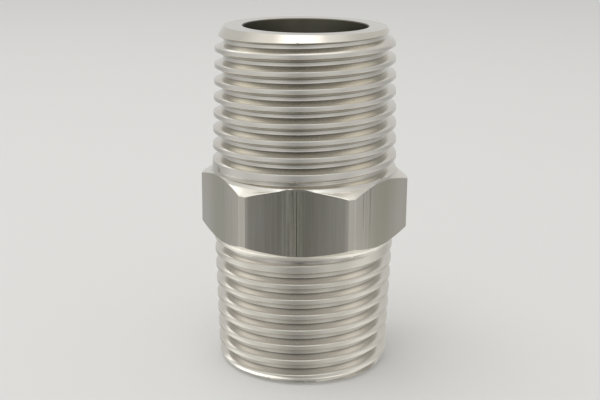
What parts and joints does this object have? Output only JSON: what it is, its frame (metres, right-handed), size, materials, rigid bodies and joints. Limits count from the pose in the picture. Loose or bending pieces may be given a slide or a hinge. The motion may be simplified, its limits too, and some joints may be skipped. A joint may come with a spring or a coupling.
{
  "type": "hex nipple",
  "caption": "Short stainless pipe fitting: a wrench hexagon between male taper-threaded ends, with a straight through bore, for joining female-threaded pipe parts.",
  "frame": {"origin": "middle of the overall length on the bore's axis, which is the centre of the bounding box", "axes": "+Z along the bore, from the shorter threaded end towards the longer one; a pair of hexagon flats faces -Y and +Y"},
  "size_m": [0.0238, 0.021, 0.039],
  "materials": {
    "stainless_steel": "satin machined, with turning lines on the round faces and drawn lines on the flats"
  },
  "bodies": {
    "root": {"nipple_body": "stainless_steel"}
  },
  "joints": []
}
